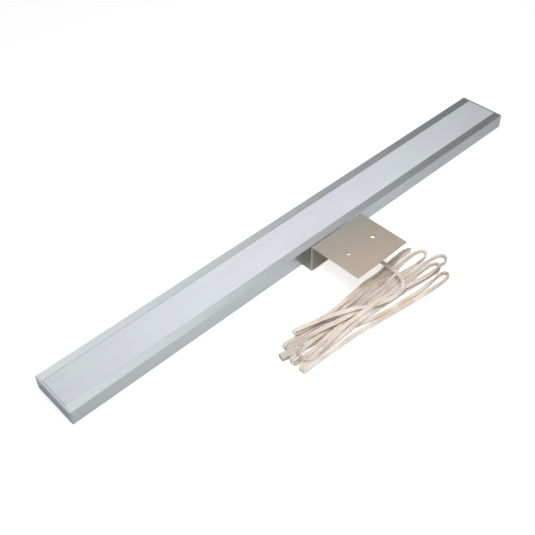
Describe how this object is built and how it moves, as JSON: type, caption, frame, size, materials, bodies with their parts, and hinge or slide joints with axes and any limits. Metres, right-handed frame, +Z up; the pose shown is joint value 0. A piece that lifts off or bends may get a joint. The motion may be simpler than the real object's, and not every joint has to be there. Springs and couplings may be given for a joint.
{
  "type": "led light bar",
  "caption": "Slim low-voltage light bar: aluminium channel with opal cover and boards inside, a folded mounting bracket that slides in its rear slot, and a flat lead ending in a small plug.",
  "frame": {"origin": "point on the bracket flange's underside straight below the middle of the bar, on the surface that the lamp stands on", "axes": "+X along the bar, +Z up from the standing surface to the lit side, -Y towards the mounting plate and the lead"},
  "size_m": [0.6, 0.1718, 0.0335],
  "materials": {
    "anodised_aluminium": "satin natural anodised extrusion",
    "cap_plastic": "moulded plastic in a matching silver grey",
    "opal_plastic": "translucent opal, satin",
    "board_laminate": "white solder mask",
    "tape_grey": "matt heat-conducting tape",
    "led_package": "white package with a yellow phosphor window",
    "chip_black": "dark moulded components",
    "tinned_copper": "tinned copper and solder",
    "core_insulation": "cream insulation",
    "lead_pvc": "clear-cream soft PVC over copper",
    "grommet_rubber": "black soft rubber",
    "tie_nylon": "natural nylon",
    "plug_plastic": "natural white nylon",
    "contact_metal": "stamped contact",
    "bracket_steel": "folded satin steel sheet",
    "zinc_steel": "zinc-plated screws and nuts"
  },
  "bodies": {
    "lamp": {"housing_profile": "anodised_aluminium", "opal_cover": "opal_plastic", "end_cap_left": "cap_plastic", "end_cap_right": "cap_plastic", "led_board_left": "board_laminate", "led_board_right": "board_laminate", "thermal_tape_left": "tape_grey", "thermal_tape_right": "tape_grey", "leds_left": "led_package", "leds_right": "led_package", "resistors_left": "chip_black", "resistors_right": "chip_black", "board_link": "tinned_copper", "input_diode": "chip_black", "solder_pads": "tinned_copper", "core_minus": "core_insulation", "core_plus": "core_insulation", "lead_inside": "lead_pvc", "outlet_grommet": "grommet_rubber", "pull_stop_tie": "tie_nylon", "lead_tube": "lead_pvc", "cable_hank": "lead_pvc", "plug_housing": "plug_plastic", "plug_contacts": "contact_metal"},
    "bracket": {"z_bracket": "bracket_steel", "web_grommet": "grommet_rubber", "bracket_screws": "zinc_steel", "slot_nuts": "zinc_steel"}
  },
  "joints": [
    {"name": "bracket_slide", "type": "slide", "parent": "lamp", "child": "bracket", "axis": [1, 0, 0], "range_m": [-0.006, 0.006]}
  ]
}
